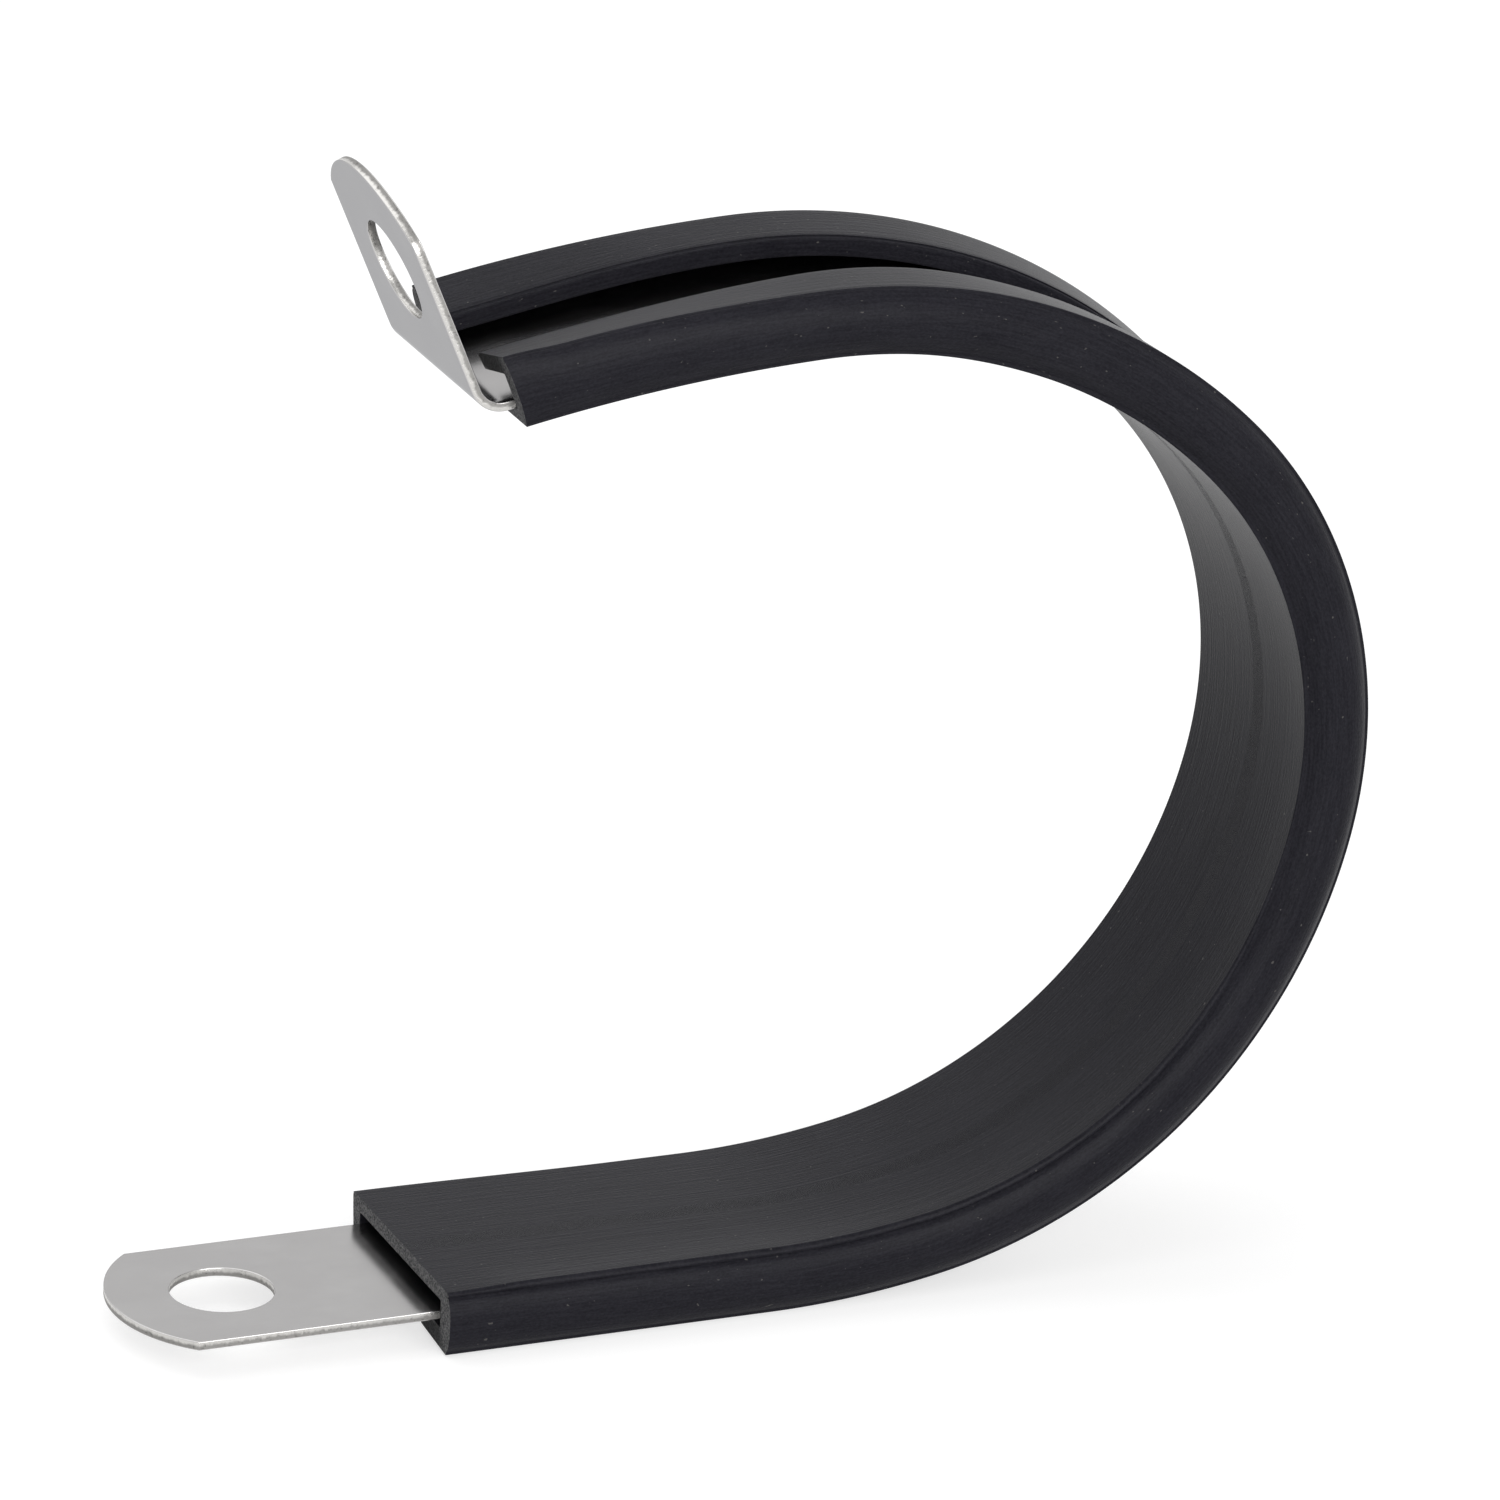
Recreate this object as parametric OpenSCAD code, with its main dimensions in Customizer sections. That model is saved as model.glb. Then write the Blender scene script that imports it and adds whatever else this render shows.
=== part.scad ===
// Rubber-lined P clip, sprung open as it is before it goes round a cable or pipe.
// A stamped strap of steel strip runs through a channel of extruded rubber. It starts
// flat at the lower bolt hole, rounds the loop and bends up into the upper tab.
// X runs from the lower bolt hole into the loop, Y across the strip and Z up. The
// origin is the lower bolt hole's centre, on the underside of its tab.

/* [Steel strap] */
// Width of the strip
strap_w = 19; // [14:0.5:20]
// Thickness of the strip
strap_t = 0.8; // [0.4:0.1:1.2]
// Bolt hole in each tab, an M8 clearance hole
bolt_hole_d = 9; // [4:0.1:12]
// From a bolt hole's centre to the tip of its tab
hole_to_tip = 9.9; // [7:0.1:16]
// Radius of each tab's blunt end
tab_end_r = 12.4; // [10.2:0.1:30]
// From the lower bolt hole's centre to the liner
lower_tab_len = 16.2; // [7:0.1:40]
// From the upper bolt hole's centre to the corner of the upper bend
upper_tab_len = 11.1; // [9:0.1:30]
// Inside radius of the upper bend
tab_bend_r = 2.1; // [0.8:0.1:4]
// Angle through which the upper tab is bent up
tab_bend_turn = 78.9; // [40:0.1:90]
// Bare strap between the liner's lips and the upper bend
bare_neck_len = 0.7; // [0.3:0.1:6]

/* [Rubber liner] */
// Greatest width of the liner, across its bulging sides
liner_w = 23.8; // [23:0.1:32]
// Swell of each side past the section's corners
side_bulge = 1.2; // [0.4:0.1:1.6]
// Height of the liner, from the face towards the cable to the lips' outer corners
liner_h = 5.9; // [5:0.1:8]
// Thickness of the web, which lies between the strap and the cable
web_t = 1.3; // [0.6:0.1:2]
// Height of the channel that the strap runs through
channel_h = 2.3; // [1.9:0.1:3]
// Width of the open slot between the two lips
slot_w = 9.9; // [3:0.1:16]
// Fall of each lip's outer face towards the slot, in degrees
lip_fall = 5; // [0:0.5:10]
// Lean of the cut at the upper end, which leaves the web shorter than the lips
upper_cut_lean = 11; // [0:1:20]

/* [Loop, measured at the liner's inner face] */
// Straight lower leg, from the liner's lower end
lower_leg_len = 30.1; // [5:0.1:60]
// Radius of the sweep out of the lower leg
lower_sweep_r = 76.5; // [40:0.5:120]
// Turn of that sweep
lower_sweep_turn = 11; // [2:0.1:20]
// Radius of the lower side
lower_side_r = 41.3; // [30:0.1:60]
// Turn of the lower side
lower_side_turn = 66.2; // [50:0.1:80]
// Radius of the nose, where the loop is tightest
nose_r = 36.1; // [25:0.1:50]
// Turn of the nose
nose_turn = 58.6; // [40:0.1:70]
// Radius of the upper side
upper_side_r = 48.8; // [35:0.1:60]
// Turn of the upper side
upper_side_turn = 47.3; // [30:0.1:60]
// Radius of the upper leg, which is bowed a little
upper_leg_r = 170; // [80:1:400]
// Turn of the upper leg, to where the strap's upper bend starts
upper_leg_turn = 9.4; // [4:0.1:20]

/* [Seat of the strap in the channel] */
// Gap between the web and the strap along the lower leg
lower_gap = 1; // [0.1:0.1:1.1]
// Gap between the web and the strap at the upper bend
upper_gap = 0.1; // [0:0.1:0.6]
// Gap between each edge of the strap and the wall of its channel
edge_gap = 0.1; // [0:0.1:0.8]

/* [Hidden] */
$fn = 96;

// The loop's arcs from the lower leg to the upper bend, each as [inner radius, turn].
ARCS = [
    [lower_sweep_r, lower_sweep_turn],
    [lower_side_r, lower_side_turn],
    [nose_r, nose_turn],
    [upper_side_r, upper_side_turn],
    [upper_leg_r, upper_leg_turn],
];
NOSE = 2;

// Heading of the path where arc i begins.
function heading(i) = i == 0 ? 0 : heading(i - 1) + ARCS[i - 1][1];

// Unit vectors along the path and out of the loop, where the path has the given heading.
function along(angle) = [cos(angle), sin(angle)];
function outward(angle) = [sin(angle), -cos(angle)];

// Point where arc i begins, on a path that starts with the lower leg at `start` and whose
// arcs lie the given depths outside the liner's inner face.
function joint_at(start, depths, i) =
    i == 0
        ? start + [lower_leg_len, 0]
        : joint_at(start, depths, i - 1)
            + (ARCS[i - 1][0] + depths[i - 1]) * (outward(heading(i)) - outward(heading(i - 1)));

upper_heading = heading(len(ARCS));
tab_heading = upper_heading - tab_bend_turn;

// The strap's arcs are tighter from the nose on, which brings it from the lower gap to
// the upper one by the time it reaches the upper bend.
strap_depth = web_t + lower_gap;
strap_shift = (lower_gap - upper_gap) / (1 - cos(upper_heading - heading(NOSE)));
STRAP_DEPTHS = [for (i = [0:len(ARCS) - 1]) i < NOSE ? strap_depth : strap_depth - strap_shift];
LINER_DEPTHS = [for (arc = ARCS) 0];

// Both paths start at the liner's lower end. The strap's runs along its inner face.
STRAP_START = [lower_tab_len, strap_t];
LINER_START = [lower_tab_len, strap_t + strap_depth];

// The upper bend follows the loop's last arc, and turns the other way.
bend_outer_r = tab_bend_r + strap_t;
bend_centre = joint_at(STRAP_START, STRAP_DEPTHS, len(ARCS)) + bend_outer_r * outward(upper_heading);
bend_end = bend_centre - bend_outer_r * outward(tab_heading);
upper_tab_run = upper_tab_len - bend_outer_r * tan(tab_bend_turn / 2);

// Further than any point of a tab lies from where its stretch of the strap starts.
tab_reach = 2 * (lower_tab_len + lower_leg_len + upper_tab_len + hole_to_tip + tab_end_r);

// Moves its children in two steps, a rounded one and the small rest, so that neighbours
// placed at the same point meet exactly.
module at(point) {
    rounded = [for (x = point) round(x * 100) / 100];
    translate(rounded)
        translate(point - rounded)
            children();
}

// Sweeps a flat section round every arc of the loop. Its X is the depth outside the inner
// face and its Y lies across the strip.
module loop(start, depths) {
    for (i = [0:len(ARCS) - 1])
        let (radius = ARCS[i][0] + depths[i])
            at(joint_at(start, depths, i) - radius * outward(heading(i)))
                rotate_extrude(angle = ARCS[i][1], start = heading(i) - 90)
                    at([radius, 0])
                        children();
}

module strap_section() {
    translate([0, -strap_w / 2])
        square([strap_t, strap_w]);
}

// All that lies to the left of the line through `point` with the given heading, as wide as
// the strap.
module left_of(point, angle) {
    at(point)
        rotate_extrude(angle = 180, start = angle)
            translate([0, -strap_w / 2])
                square([tab_reach, strap_w]);
}

// A flat stretch of the strap, from the point `start` with the given heading. It is longer
// than its tab, which is cut from it.
module stretch(start, angle) {
    intersection() {
        left_of(start + strap_t * outward(angle), angle);
        left_of(start, angle + 180);
        left_of(start, angle - 90);
    }
}

// Cuts a stretch of the strap to a tab: a bolt hole at `hole` and a blunt tip beyond it, in
// the direction `angle`.
module tab(hole, angle) {
    difference() {
        intersection() {
            children();
            at(hole)
                rotate([-90, 0, angle])
                    linear_extrude(4 * strap_t, center = true) {
                        translate([hole_to_tip - tab_end_r, 0])
                            circle(tab_end_r);
                        translate([hole_to_tip - tab_end_r - tab_reach, -strap_w])
                            square([tab_reach, 2 * strap_w]);
                    }
        }
        at(hole)
            rotate([-90, 0, angle])
                cylinder(h = 4 * strap_t, d = bolt_hole_d, center = true);
    }
}

module upper_bend() {
    at(bend_centre)
        rotate_extrude(angle = tab_bend_turn, start = tab_heading + 90)
            at([tab_bend_r, 0])
                strap_section();
}

// The strap, in one piece from the lower tab to the upper.
module steel_strap() {
    color("gainsboro")
        rotate([90, 0, 0]) {
            tab([0, 0], 180)
                stretch([lower_tab_len + lower_leg_len, 0], 180);
            loop(STRAP_START, STRAP_DEPTHS)
                strap_section();
            upper_bend();
            tab(bend_end + upper_tab_run * along(tab_heading), tab_heading)
                stretch(bend_end, tab_heading);
        }
}

// The channel's section, with its web from depth 0 and its lips' corners at liner_h.
module liner_section() {
    channel_w = strap_w + 2 * edge_gap;
    corner_y = liner_w / 2 - side_bulge;
    side_r = (pow(liner_h / 2, 2) + pow(side_bulge, 2)) / (2 * side_bulge);
    side_y = liner_w / 2 - side_r;
    difference() {
        intersection() {
            translate([0, -liner_w])
                square([liner_h, 2 * liner_w]);
            union() {
                translate([-liner_h, -side_y])
                    square([3 * liner_h, 2 * side_y]);
                for (side = [-1, 1])
                    translate([liner_h / 2, side * side_y])
                        circle(side_r);
            }
        }
        translate([web_t, -channel_w / 2])
            square([channel_h, channel_w]);
        translate([web_t, -slot_w / 2])
            square([liner_h, slot_w]);
        for (side = [-1, 1])
            translate([liner_h, side * corner_y])
                rotate(-side * lip_fall)
                    translate([0, side > 0 ? -corner_y : 0])
                        square([liner_h, corner_y]);
    }
}

// All that lies past the liner's upper end. The cut passes through the lips' corners.
module past_upper_cut() {
    corner = joint_at(LINER_START, LINER_DEPTHS, len(ARCS))
        + liner_h * outward(upper_heading)
        - bare_neck_len * along(upper_heading);
    translate(corner)
        rotate([0, 0, upper_heading + upper_cut_lean])
            translate([0, -liner_h, -liner_w])
                cube([2 * liner_h, 3 * liner_h, 2 * liner_w]);
}

// The liner, one length of extrusion laid round the strap.
module rubber_liner() {
    color("#2b2b2e")
        rotate([90, 0, 0])
            difference() {
                union() {
                    at(LINER_START)
                        rotate([90, 0, 90])
                            linear_extrude(lower_leg_len)
                                rotate(180)
                                    liner_section();
                    loop(LINER_START, LINER_DEPTHS)
                        liner_section();
                }
                past_upper_cut();
            }
}

steel_strap();
rubber_liner();
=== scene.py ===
from math import asin, atan2, cos, radians, sin, tan

import bmesh
import bpy
from mathutils import Matrix, Vector


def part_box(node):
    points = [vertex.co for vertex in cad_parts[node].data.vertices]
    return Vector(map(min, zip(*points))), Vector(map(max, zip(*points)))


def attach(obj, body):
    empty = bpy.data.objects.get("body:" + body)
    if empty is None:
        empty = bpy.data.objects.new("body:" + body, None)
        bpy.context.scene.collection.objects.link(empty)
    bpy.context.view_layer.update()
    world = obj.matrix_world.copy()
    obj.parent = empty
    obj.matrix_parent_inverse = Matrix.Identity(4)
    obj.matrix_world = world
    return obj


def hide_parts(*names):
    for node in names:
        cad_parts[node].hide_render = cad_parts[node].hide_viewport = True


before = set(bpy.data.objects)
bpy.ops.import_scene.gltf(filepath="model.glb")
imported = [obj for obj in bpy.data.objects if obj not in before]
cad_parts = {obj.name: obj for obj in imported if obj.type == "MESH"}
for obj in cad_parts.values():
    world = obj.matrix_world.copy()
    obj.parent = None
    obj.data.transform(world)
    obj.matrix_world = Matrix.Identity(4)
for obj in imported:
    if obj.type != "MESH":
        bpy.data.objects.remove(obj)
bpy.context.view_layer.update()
scene = bpy.context.scene
MM = 0.001


# ---------------------------------------------------------------- steel strap
# One piece of stainless strip. It is punched flat with a blunt tip and a bolt
# hole at each end, then rolled to the loop's shape, and its upper tab is bent up.

STRIP_W, STRIP_T = 19 * MM, 0.8 * MM
HOLE_R = 4.5 * MM
HOLE_TO_TIP, TIP_R = 9.9 * MM, 12.4 * MM
LOWER_TAB, LOWER_LEG = 16.2 * MM, 30.1 * MM
UPPER_TAB, BEND_R, BEND_TURN = 11.1 * MM, 2.1 * MM, 78.9
WEB_T, LOWER_GAP, UPPER_GAP = 1.3 * MM, 1.0 * MM, 0.1 * MM
# The loop's arcs at the liner's inner face, as radius and turn.
LOOP = [
    (76.5 * MM, 11.0),
    (41.3 * MM, 66.2),
    (36.1 * MM, 58.6),
    (48.8 * MM, 47.3),
    (170.0 * MM, 9.4),
]
NOSE = 2
# How finely the flat blank is cut up, and how far its sheared edges are rounded.
COLUMNS, LOOP_STEP, BEND_STEP = 28, 0.9 * MM, 0.25 * MM
HOLE_RINGS = (0.0, 0.04, 0.12, 0.3, 0.6, 1.0)
EDGE_ROUND = 0.09 * MM
CORNER_ANGLE = 60


class Run:
    """A path in the clip's plane, made of straights and arcs, that a flat blank is laid along."""

    def __init__(self, x, z):
        self.x, self.z, self.heading, self.length = x, z, 0.0, 0.0
        self.parts = []

    def add(self, length, turn=0.0):
        self.parts.append((self.length, length, turn, self.x, self.z, self.heading))
        self.x, self.z, self.heading = self._at(self.parts[-1], length)
        self.length += length
        return self

    def arc(self, radius, turn):
        return self.add(radius * radians(abs(turn)), turn)

    def _at(self, part, travel):
        _, length, turn, x, z, heading = part
        if not turn:
            return x + travel * cos(heading), z + travel * sin(heading), heading
        radius = length / radians(turn)
        end = heading + radians(turn) * travel / length
        x += radius * (sin(end) - sin(heading))
        z -= radius * (cos(end) - cos(heading))
        return x, z, end

    def place(self, along, across, depth):
        """A blank's point, with `depth` measured away from the loop's inside."""
        part = self.parts[0]
        for other in self.parts:
            if along >= other[0]:
                part = other
        x, z, heading = self._at(part, along - part[0])
        return Vector((x + depth * sin(heading), across, z - depth * cos(heading)))


strap_depth = WEB_T + LOWER_GAP
strap_shift = (LOWER_GAP - UPPER_GAP) / (1 - cos(radians(sum(t for _, t in LOOP[NOSE:]))))
bend_outer_r = BEND_R + STRIP_T
upper_run = UPPER_TAB - bend_outer_r * tan(radians(BEND_TURN / 2))

strap_run = Run(-HOLE_TO_TIP, STRIP_T).add(HOLE_TO_TIP + LOWER_TAB + LOWER_LEG)
for number, (radius, turn) in enumerate(LOOP):
    strap_run.arc(radius + strap_depth - (0 if number < NOSE else strap_shift), turn)
strap_run.arc(bend_outer_r, -BEND_TURN)
bend_end = strap_run.length
strap_run.add(upper_run + HOLE_TO_TIP)


def tab_outline(hole_at, towards_tip, join_at):
    """The edge of a tab as points round its hole, from the middle of the tip to its mirror."""
    half, count = STRIP_W / 2, COLUMNS // 2
    sweep = asin(half / TIP_R)
    tip = hole_at + towards_tip * HOLE_TO_TIP
    centre = tip - towards_tip * TIP_R
    arc = [
        (centre + towards_tip * TIP_R * cos(a), TIP_R * sin(a))
        for a in (sweep * k / count for k in range(count + 1))
    ]
    side_from = arc[-1][0]
    side = [(side_from + (join_at - side_from) * k / count, half) for k in range(1, count + 1)]
    end = [(join_at, half * (1 - k / count)) for k in range(1, count + 1)]
    return arc + side + end


def punched_tab(mesh, hole_at, towards_tip, join_at):
    """Faces of one flat tab, in rings from its bolt hole out to its edge."""
    edge = tab_outline(hole_at, towards_tip, join_at)
    edge += [(x, -y) for x, y in reversed(edge[1:-1])]
    rings = []
    for share in HOLE_RINGS:
        ring = []
        for x, y in edge:
            angle = atan2(y, x - hole_at)
            inner_x, inner_y = hole_at + HOLE_R * cos(angle), HOLE_R * sin(angle)
            ring.append(mesh.verts.new((
                inner_x + (x - inner_x) * share, inner_y + (y - inner_y) * share, 0)))
        rings.append(ring)
    for inner, outer in zip(rings, rings[1:]):
        for k in range(len(inner)):
            after = (k + 1) % len(inner)
            mesh.faces.new((inner[k], inner[after], outer[after], outer[k]))


flat = bmesh.new()
lower_join = HOLE_TO_TIP + LOWER_TAB * 0.8
upper_join = bend_end
bend_start = bend_end - bend_outer_r * radians(BEND_TURN)
punched_tab(flat, HOLE_TO_TIP, -1, lower_join)
punched_tab(flat, strap_run.length - HOLE_TO_TIP, 1, upper_join)
stations = [lower_join]
while stations[-1] < bend_end - 1e-6:
    in_bend = stations[-1] > bend_start - 1e-6
    step = BEND_STEP if in_bend else LOOP_STEP
    limit = bend_end if in_bend else bend_start
    stations.append(min(stations[-1] + step, limit))
rows = [
    [flat.verts.new((s, STRIP_W * (k / COLUMNS - 0.5), 0)) for k in range(COLUMNS + 1)]
    for s in stations
]
for low, high in zip(rows, rows[1:]):
    for k in range(COLUMNS):
        flat.faces.new((low[k], high[k], high[k + 1], low[k + 1]))
bmesh.ops.remove_doubles(flat, verts=flat.verts, dist=1e-6)
bmesh.ops.recalc_face_normals(flat, faces=flat.faces)
raised = bmesh.ops.extrude_face_region(flat, geom=flat.faces[:])["geom"]
for vert in (v for v in raised if isinstance(v, bmesh.types.BMVert)):
    vert.co.z += STRIP_T
bmesh.ops.recalc_face_normals(flat, faces=flat.faces)
sheared = [e for e in flat.edges if e.is_manifold and e.calc_face_angle() > radians(CORNER_ANGLE)]
bmesh.ops.bevel(
    flat, geom=sheared, offset=EDGE_ROUND, offset_type="OFFSET", segments=3, profile=0.5,
    affect="EDGES")
# "lay" keeps each point's place on the flat blank, which the materials are drawn by.
lay = flat.verts.layers.float_vector.new("lay")
for vert in flat.verts:
    vert[lay] = vert.co.copy()
    vert.co = strap_run.place(*vert.co)
bmesh.ops.recalc_face_normals(flat, faces=flat.faces)


def finished(mesh, name, materials):
    """An object from a bmesh, shaded smooth, with each large face kept flat."""
    data = bpy.data.meshes.new(name)
    mesh.to_mesh(data)
    mesh.free()
    data.polygons.foreach_set("use_smooth", [True] * len(data.polygons))
    made = bpy.data.objects.new(name, data)
    scene.collection.objects.link(made)
    for material in materials:
        data.materials.append(material)
    weighted = made.modifiers.new("flat faces", "WEIGHTED_NORMAL")
    weighted.keep_sharp = True
    weighted.weight = 50
    return made


class Wire:
    """A socket of a material's nodes, which takes part in sums like a number."""

    def __init__(self, nodes, socket=None):
        self.nodes, self.socket = nodes, socket

    def node(self, kind, settings=None, sockets=None, out=0):
        """A new node of that type, with its settings, then its sockets' values or links."""
        made = self.nodes.nodes.new("ShaderNode" + kind)
        for name, value in (settings or {}).items():
            setattr(made, name, value)
        for name, value in (sockets or {}).items():
            if isinstance(value, Wire):
                self.nodes.links.new(value.socket, made.inputs[name])
            else:
                made.inputs[name].default_value = value
        return Wire(self.nodes, made.outputs[out])

    def _sum(self, operation, a, b):
        return self.node("Math", {"operation": operation}, {0: a, 1: b})

    def __add__(self, other):
        return self._sum("ADD", self, other)

    __radd__ = __add__

    def __mul__(self, other):
        return self._sum("MULTIPLY", self, other)

    __rmul__ = __mul__

    def __sub__(self, other):
        return self._sum("SUBTRACT", self, other)

    def __rsub__(self, other):
        return self._sum("SUBTRACT", other, self)

    def ramp(self, low, high):
        """0 below low, 1 above high, and smooth between."""
        return self.node(
            "MapRange", {"interpolation_type": "SMOOTHSTEP"},
            {"Value": self, "From Min": low, "From Max": high})

    def tint(self, dark, light):
        """A colour between the two, as this wire goes from 0 to 1."""
        dark, light = (c if isinstance(c, Wire) else (*c, 1) for c in (dark, light))
        return self.node(
            "Mix", {"data_type": "RGBA"}, {"Factor": self, 6: dark, 7: light}, out=2)

    def stretched(self, along, across, deep):
        """This vector with each of its parts scaled."""
        return self.node(
            "VectorMath", {"operation": "MULTIPLY"}, {0: self, 1: (along, across, deep)})

    def noise(self, scale=1.0, detail=3.0, roughness=0.55):
        """Noise over this vector, from 0 to 1."""
        return self.node(
            "TexNoise", {"noise_dimensions": "3D"},
            {"Vector": self, "Scale": scale, "Detail": detail, "Roughness": roughness})


def new_material(name, bright):
    """A material, a wire to build it with, and its surface shader's sockets."""
    material = bpy.data.materials.new(name)
    material.use_nodes = True
    material.diffuse_color = bright
    surface = material.node_tree.nodes["Principled BSDF"]
    return material, Wire(material.node_tree), surface.inputs


def connect(wire, socket):
    wire.nodes.links.new(wire.socket, socket)


# Rolled strip: a soft mill sheen with fine lines along it, faint smudges and a few specks.
steel, w, shader = new_material("rolled_steel", (0.6, 0.6, 0.6, 1))
blank = w.node("Attribute", {"attribute_name": "lay"}, out=1)
mill_lines = blank.stretched(60, 5200, 0).noise(1.0, 2.0)
smudges = blank.stretched(140, 190, 0).noise(1.0, 4.0, 0.6)
specks = blank.stretched(2600, 3400, 0).noise(1.0, 2.0).ramp(0.7, 0.78)
handled = smudges.ramp(0.35, 0.75)
tone = handled * 0.6 + mill_lines * 0.4
clean_steel = tone.tint((0.52, 0.51, 0.505), (0.57, 0.562, 0.555))
connect((specks * 0.4).tint(clean_steel, (0.3, 0.29, 0.28)), shader["Base Color"])
connect(0.17 + handled * 0.04 + mill_lines * 0.03, shader["Roughness"])
shader["Metallic"].default_value = 1.0
shader["Specular Tint"].default_value = (0.55, 0.555, 0.57, 1)
relief = w.node(
    "Bump", None,
    {"Strength": 0.2, "Distance": 0.000004, "Height": mill_lines * 0.6 + smudges * 0.8})
connect(relief, shader["Normal"])

# Sheared edge: burnished where the punch went in, dark and torn where the metal broke away.
sheared_steel, w, shader = new_material("sheared_edge", (0.4, 0.4, 0.4, 1))
blank = w.node("Attribute", {"attribute_name": "lay"}, out=1)
depth = w.node("SeparateXYZ", None, {0: blank}, out=2)
tear = blank.stretched(1900, 1900, 700).noise(1.0, 4.0, 0.65)
broken = (depth * 1400 + tear * 0.9).ramp(0.75, 1.15)
pits = blank.stretched(3800, 3800, 3800).noise(1.0, 2.0).ramp(0.55, 0.7)
connect(
    (broken * 0.75 + pits * 0.25).tint((0.56, 0.55, 0.53), (0.16, 0.155, 0.15)),
    shader["Base Color"])
connect(0.25 + broken * 0.3, shader["Roughness"])
shader["Metallic"].default_value = 1.0
relief = w.node(
    "Bump", None,
    {"Strength": 0.6, "Distance": 0.00004, "Height": broken * 0.5 + pits * 0.3 + tear})
connect(relief, shader["Normal"])

strap = finished(flat, "bent_strap", [steel, sheared_steel])
blank_depths = strap.data.attributes["lay"].data
for face in strap.data.polygons:
    depths = [blank_depths[v].vector.z for v in face.vertices]
    if max(depths) - min(depths) > STRIP_T / 2:
        face.material_index = 1
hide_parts("steel_strap")
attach(strap, "root")


# --------------------------------------------------------------- rubber liner
# One length of black EPDM channel, extruded in that section and cut off at both
# ends. It is slid along the strap, and its two lips wrap the strap's edges.

CHANNEL_W, SLOT_W, LIP_T = 19.2 * MM, 9.9 * MM, 1.9 * MM
LINER_H = 5.9 * MM
UPPER_CUT_LEAN, BARE_NECK, BLADE_DRIFT = 8.5, 0.56 * MM, 0.6 * MM
ROWS, DISH_STEPS, ROLL_STEPS, SIDE_STEPS, ROUND_STEPS = 360, 5, 5, 12, 3
CUT_SPAN = 30 * MM
BLADE_SPAN = 5.6 * MM

liner_run = Run(LOWER_TAB, STRIP_T + strap_depth).add(LOWER_LEG)
for radius, turn in LOOP:
    liner_run.arc(radius, turn)
UPPER_END = liner_run.length / MM

# How each side stands along the liner, in millimetres: the place along it, then how far the
# web's edge is rolled over (0 to 1), the rise of the web towards that edge, the half widths
# at the web, at mid height and at the lip, the lip's fall in degrees and the lip's lift.
NEAR_SIDE = [
    (0, 1.0, 0.0, 11.3, 11.87, 11.2, 5, -0.15),
    (8, 1.0, 0.22, 11.3, 11.87, 11.1, 5, -0.1),
    (62, 1.0, 0.25, 11.2, 11.87, 10.9, 5, 0),
    (92, 0.0, 0.22, 10.7, 11.87, 10.7, 5, 0),
    (150, 0.0, 0.1, 10.7, 11.87, 10.6, 2, 0),
    (UPPER_END - 36, 0.0, 0, 10.7, 11.87, 10.6, 0, 0),
    (UPPER_END - 6, 0.0, 0, 10.7, 11.5, 10.6, 10, 0.35),
    (UPPER_END, 0.0, 0, 10.7, 11.3, 10.6, 13.5, 0.7),
]
FAR_SIDE = [
    (0, 0.0, 0, 11.35, 11.1, 10.7, 5, 0),
    (25, 0.4, 0, 10.8, 11.87, 10.7, 5, 0),
    (92, 0.0, 0, 10.7, 11.87, 10.7, 5, 0),
    (UPPER_END - 42, 0.0, 0, 10.7, 11.87, 10.7, 6, 0),
    (UPPER_END - 25, 0.0, 0, 10.7, 11.87, 10.7, 3.8, 0),
    (UPPER_END - 2, 0.0, 0, 10.7, 11.6, 10.7, 10.6, 0),
]


def side_at(stations, travel):
    """How a side stands at a place along the liner, eased from one station to the next."""
    for low, high in zip(stations, stations[1:]):
        if travel <= high[0]:
            break
    t = min(1.0, max(0.0, (travel - low[0]) / (high[0] - low[0])))
    t = t * t * (3 - 2 * t)
    return [a + (b - a) * t for a, b in zip(low[1:], high[1:])]


# The rest of the section in millimetres, as depth from the web's inner face and place across.
WEB, WALL_Y, SLOT_Y = WEB_T / MM, CHANNEL_W / 2 / MM, SLOT_W / 2 / MM
WEB_FLAT_TO, CORNER_R, SWELL_POWER = 4.5, 0.2, 2.4
# Depth and width of the roll at the web's edge: a least size, and what a full roll adds.
ROLL_DEPTH, FULL_ROLL_DEPTH = 0.1, 0.2
ROLL_WIDTH, FULL_ROLL_WIDTH = 0.15, 0.25
# The crease between the web and the side, as depth under the roll and place from the web's
# edge. It goes further in under a full roll.
CREASE_TOP, CREASE_BOTTOM, SIDE_FROM = 0.05, 0.14, 0.2
CREASE_IN, FULL_CREASE_IN, SIDE_OUT = 0.02, 0.2, 0.03
# The nick under the lip's outer edge, as depth from where the side ends and place outwards.
SIDE_END = 0.2
NICK = [(-0.1, 0, 0), (0, -0.07, 0), (0.08, -0.01, 0)]
LIP_EDGE = (0, -0.06, 0.06)
LIP_SHARES = (0.12, 0.5, 0.85)
# The flash along the slot's edge, as depth below it, place back from the slot and rounding.
FLASH = [(0, 0.3, 0.05), (0.12, 0.42, 0), (0.19, 0.04, 0.04), (0.3, 0.04, 0), (0.36, 0, 0)]
ROOF_R, ROOF_INSET = 0.15, 0.5


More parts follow.
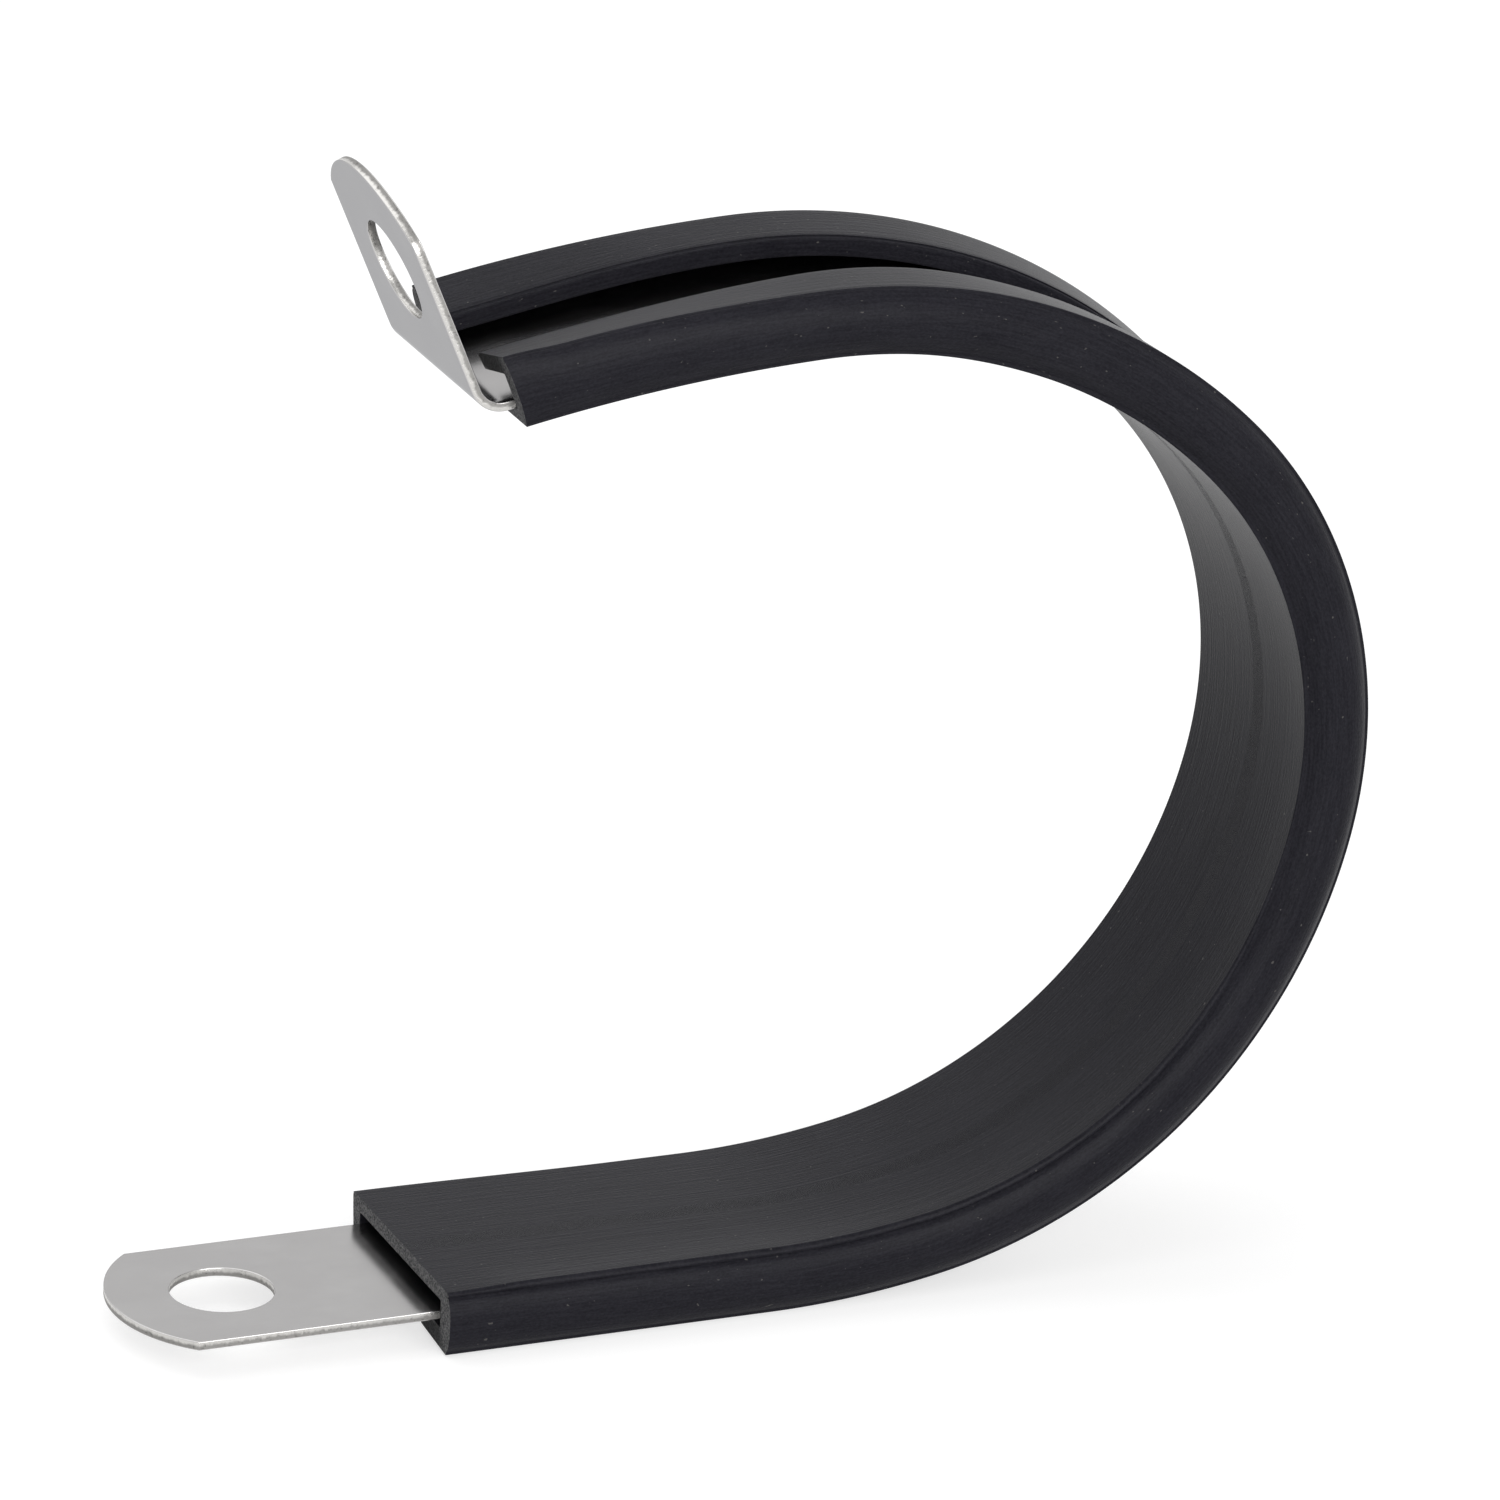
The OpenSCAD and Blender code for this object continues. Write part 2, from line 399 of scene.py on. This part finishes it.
def web_half(roll, dish, web_y):
    """(depth, across, radius) from near the web's middle to the crease under its edge."""
    deep = ROLL_DEPTH + FULL_ROLL_DEPTH * roll
    flat_to = web_y - ROLL_WIDTH - FULL_ROLL_WIDTH * roll
    crease_y = web_y - CREASE_IN - FULL_CREASE_IN * roll
    half = [(0, 2, 0), (0, WEB_FLAT_TO, 0)]
    for k in range(1, DISH_STEPS):
        share = k / DISH_STEPS
        half.append((-dish * share ** 2, WEB_FLAT_TO + (flat_to - WEB_FLAT_TO) * share, 0))
    for k in range(ROLL_STEPS + 1):
        a = radians(90 * k / ROLL_STEPS)
        half.append((
            -dish + (deep + dish) * (1 - cos(a)), flat_to + (web_y - flat_to) * sin(a), 0))
    half += [(deep + CREASE_TOP, crease_y, 0), (deep + CREASE_BOTTOM, crease_y, 0)]
    half.append((deep + SIDE_FROM, web_y + SIDE_OUT, 0))
    return half


def side_half(side_from, lip_top, web_y, mid_y, lip_y):
    """The bulging side, from the crease to the lip's outer edge."""
    side_to = lip_top - SIDE_END
    swell = mid_y - (web_y + lip_y) / 2
    half = []
    for k in range(1, SIDE_STEPS):
        t = k / SIDE_STEPS
        bulge = swell * (1 - abs(2 * t - 1) ** SWELL_POWER)
        y = web_y + SIDE_OUT + (lip_y - web_y) * t + bulge
        half.append((side_from + (side_to - side_from) * t, y, 0))
    half += [(side_to + down, lip_y + out, r) for down, out, r in NICK]
    return half


def lip_half(lip_top, lip_y, slope):
    """The lip's outer face, the slot's wall and the inside of the channel, back to the web."""
    down, out, radius = LIP_EDGE
    half = [(lip_top + down, lip_y + out, radius)]
    for share in LIP_SHARES:
        inward = share * (lip_y - SLOT_Y)
        half.append((lip_top - inward * slope, lip_y - inward, 0))
    edge = lip_top - (lip_y - SLOT_Y) * slope
    half += [(edge - down, SLOT_Y + back, r) for down, back, r in FLASH]
    roof = lip_top - LIP_T / MM
    sag = (WALL_Y - SLOT_Y) * slope
    half.append((roof - sag, SLOT_Y, ROOF_R))
    half.append((roof - sag * 0.9, SLOT_Y + ROOF_INSET, 0))
    half.append((roof - sag * 0.1, WALL_Y - ROOF_INSET, 0))
    half += [(roof, WALL_Y, CORNER_R), (WEB, WALL_Y, CORNER_R)]
    half += [(WEB, WALL_Y - ROOF_INSET, 0), (WEB, WALL_Y / 2, 0)]
    return half


def half_section(roll, dish, web_y, mid_y, lip_y, fall, lift):
    """One side's corners, from the web's middle round the lip and back inside the channel."""
    web = web_half(roll, dish, web_y)
    lip_top = LINER_H / MM + lift
    side = side_half(web[-1][0], lip_top, web_y, mid_y, lip_y)
    return web + side + lip_half(lip_top, lip_y, tan(radians(fall)))


def section_at(travel):
    """The section's closed outline at a place along the liner, with its corners rounded off."""
    far = half_section(*side_at(FAR_SIDE, travel))
    near = half_section(*side_at(NEAR_SIDE, travel))
    corners = [(0, 0, 0)] + far + [(WEB, 0, 0)] + [(d, -y, r) for d, y, r in reversed(near)]
    outline = []
    for k, (d, y, radius) in enumerate(corners):
        here = Vector((d, y))
        if not radius:
            outline.append(here * MM)
            continue
        before = Vector(corners[k - 1][:2]) - here
        after = Vector(corners[(k + 1) % len(corners)][:2]) - here
        start = here + before.normalized() * min(radius, 0.45 * before.length)
        end = here + after.normalized() * min(radius, 0.45 * after.length)
        for step in range(ROUND_STEPS + 1):
            t = step / ROUND_STEPS
            outline.append((start * (1 - t) ** 2 + here * 2 * t * (1 - t) + end * t ** 2) * MM)
    return outline


channel = bmesh.new()
# Here "lay" is the place along the liner, round its section and out from the web.
lay = channel.verts.layers.float_vector.new("lay")
middle = section_at(UPPER_END / 2)
girth = [0.0]
for here, after in zip(middle, middle[1:]):
    girth.append(girth[-1] + (after - here).length)
lean = tan(radians(UPPER_CUT_LEAN))
rings = []
# The rows near the upper end close up, so that the last one lies in the leaning cut.
for row in range(ROWS + 1):
    ring = []
    travel = liner_run.length * row / ROWS
    near_cut = max(0.0, 1 - (liner_run.length - travel) / CUT_SPAN)
    for point, lap in zip(section_at(travel / MM), girth):
        cut_back = BARE_NECK + (LINER_H - point.x) * lean
        if point.y < 0 and point.x > WEB_T:
            inner = min(1.0, max(0.0, 1 - (-point.y - SLOT_W / 2) / BLADE_SPAN))
            cut_back -= BLADE_DRIFT * inner * (point.x - WEB_T) / (LINER_H - WEB_T)
        s = travel - cut_back * near_cut
        vert = channel.verts.new(liner_run.place(s, point.y, point.x))
        vert[lay] = (s, lap, point.x)
        ring.append(vert)
    rings.append(ring)
for low, high in zip(rings, rings[1:]):
    for k in range(len(low)):
        after = (k + 1) % len(low)
        channel.faces.new((low[k], low[after], high[after], high[k]))
for end in (rings[0], rings[-1]):
    cap = channel.faces.new(end)
    cap.material_index = 1
bmesh.ops.recalc_face_normals(channel, faces=channel.faces)

# Extruded rubber: matt, with fine die lines along it, dull bloom and pale dust.
rubber, w, shader = new_material("extruded_rubber", (0.03, 0.03, 0.035, 1))
blank = w.node("Attribute", {"attribute_name": "lay"}, out=1)
die_lines = blank.stretched(28, 2400, 0).noise(1.0, 3.0, 0.6)
drag = blank.stretched(260, 4200, 0).noise(1.0, 4.0, 0.62)
bloom = blank.stretched(75, 160, 60).noise(1.0, 3.0)
grain = blank.stretched(3600, 4600, 4600).noise(1.0, 2.0, 0.6)
dust = blank.stretched(1900, 2300, 1500).noise(1.0, 1.0).ramp(0.74, 0.8)
tone = bloom * 0.5 + drag.ramp(0.35, 0.65) * 0.3 + grain.ramp(0.35, 0.65) * 0.3 - 0.05
clean_rubber = tone.tint((0.0055, 0.0052, 0.008), (0.0235, 0.023, 0.029))
connect((dust * 0.6).tint(clean_rubber, (0.12, 0.115, 0.11)), shader["Base Color"])
connect(0.22 + bloom * 0.06 + drag * 0.08 + grain * 0.06, shader["Roughness"])
shader["IOR"].default_value = 1.155
relief = w.node(
    "Bump", None,
    {"Strength": 1.0, "Distance": 0.00007, "Height": die_lines * 0.4 + drag * 0.35 + grain * 0.35})
connect(relief, shader["Normal"])

# Cut end: the blade leaves a paler, granular face. The lips' end faces are painted darker there, as
# painted shade.
cut_rubber, w, shader = new_material("cut_rubber", (0.1, 0.1, 0.1, 1))
place = w.node("TexCoord", None, None, out=3)
side = w.node("SeparateXYZ", None, {0: place}, out=1)
across = w.node("Math", {"operation": "ABSOLUTE"}, {0: side})
blank = w.node("Attribute", {"attribute_name": "lay"}, out=1)
depth = w.node("SeparateXYZ", None, {0: blank}, out=2)
# painted shade: the mask picks out the lips' end faces, which are tinted darker than the rest of
# the cut face
shaded_lip_end = depth.ramp(0.0034, 0.0042) * (1 - across.ramp(0.0092, 0.0104))
crumbs = place.noise(5200, 3.0, 0.7)
torn = place.noise(1300, 3.0)
chips = crumbs.ramp(0.38, 0.66) * 0.75 + torn.ramp(0.3, 0.7) * 0.25
connect(
    shaded_lip_end.tint(
        chips.tint((0.03, 0.03, 0.032), (0.2, 0.2, 0.203)),
        chips.tint((0.012, 0.012, 0.013), (0.06, 0.06, 0.062))),
    shader["Base Color"])
shader["Roughness"].default_value = 0.85
shader["Specular IOR Level"].default_value = 0.2
relief = w.node(
    "Bump", None, {"Strength": 1.0, "Distance": 0.00008, "Height": crumbs + torn * 0.5})
connect(relief, shader["Normal"])

liner = finished(channel, "channel_liner", [rubber, cut_rubber])
for face in liner.data.polygons:
    if face.material_index == 1:
        face.use_smooth = False
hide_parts("rubber_liner")
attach(liner, "root")


# ------------------------------------------------------------ floor and light
# A plain white floor under the lower leg, white all round for the camera and
# for reflections, and soft studio light from above.

FLOOR_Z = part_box("rubber_liner")[0].z
FLOOR_HALF = 6
# Strength of the room's light, which the camera and reflections find at full white, and the
# glow that brings the floor up to white for them.
ROOM, FLOOR_LIFT = 0.55, 0.62
floor_mesh = bpy.data.meshes.new("floor")
floor_mesh.from_pydata(
    [(x * FLOOR_HALF, y * FLOOR_HALF, FLOOR_Z) for x, y in ((-1, -1), (1, -1), (1, 1), (-1, 1))],
    [], [(0, 1, 2, 3)])
floor = bpy.data.objects.new("floor", floor_mesh)
scene.collection.objects.link(floor)
paper, w, shader = new_material("white_floor", (1, 1, 1, 1))
shader["Base Color"].default_value = (0.5, 0.5, 0.5, 1)
shader["Roughness"].default_value = 0.9
shader["Specular IOR Level"].default_value = 0.1
seen = w.node("LightPath", None, None, out="Is Camera Ray")
mirrored = w.node("LightPath", None, None, out="Is Glossy Ray")
through = w.node("LightPath", None, None, out="Is Transmission Ray")
lift = w.node(
    "Emission", None, {"Color": (1, 1, 1, 1), "Strength": (seen + mirrored + through) * FLOOR_LIFT})
lit = Wire(w.nodes, w.nodes.nodes["Principled BSDF"].outputs[0])
both = w.node("AddShader", None, {0: lit, 1: lift})
connect(both, w.nodes.nodes["Material Output"].inputs["Surface"])
floor_mesh.materials.append(paper)

world = bpy.data.worlds.new("studio")
scene.world = world
world.use_nodes = True
w = Wire(world.node_tree)
seen = w.node("LightPath", None, None, out="Is Camera Ray")
mirrored = w.node("LightPath", None, None, out="Is Glossy Ray")
through = w.node("LightPath", None, None, out="Is Transmission Ray")
backdrop = world.node_tree.nodes["Background"].inputs
backdrop["Color"].default_value = (1, 1, 1, 1)
# Reflections find the room darker overhead.
up = w.node("SeparateXYZ", None, {0: w.node("TexCoord")}, out=2)
ceiling = 1 - up.ramp(0.36, 0.54) * 0.35
connect(ROOM + (seen + through + mirrored * ceiling) * (1 - ROOM), backdrop["Strength"])


def softbox(name, place, aim, size, power):
    data = bpy.data.lights.new(name, "AREA")
    data.shape = "RECTANGLE"
    data.size, data.size_y = size
    data.energy = power
    lamp = bpy.data.objects.new(name, data)
    scene.collection.objects.link(lamp)
    lamp.location = place
    lamp.rotation_euler = (Vector(aim) - Vector(place)).to_track_quat("-Z", "Y").to_euler()


CLIP_MIDDLE = (0.05, 0, 0.03)
softbox("key", (-0.2, 0.3, 0.9), CLIP_MIDDLE, (1.2, 1.2), 4.0)
softbox("front", (0.1, -1.2, 0.4), CLIP_MIDDLE, (1.0, 1.0), 12.0)


# --------------------------------------------------------------------- camera
# A long lens from the front left, a little above the clip and turned slightly.

TURN, TILT, ROLL = -24.0786, 20.9864, 2.8867
LENS, DISTANCE = 227.14, 0.808
AIM = Vector((47.369, 1.825, 44.197)) * MM
camera_data = bpy.data.cameras.new("camera")
camera_data.lens = LENS
camera_data.sensor_width = 36
camera_data.clip_start = 0.01
camera = bpy.data.objects.new("camera", camera_data)
scene.collection.objects.link(camera)
spin = (
    Matrix.Rotation(radians(TURN), 4, "Z")
    @ Matrix.Rotation(radians(90 - TILT), 4, "X")
    @ Matrix.Rotation(radians(ROLL), 4, "Z"))
camera.matrix_world = Matrix.Translation(AIM + spin @ Vector((0, 0, DISTANCE))) @ spin
scene.camera = camera
scene.view_settings.view_transform = "Standard"
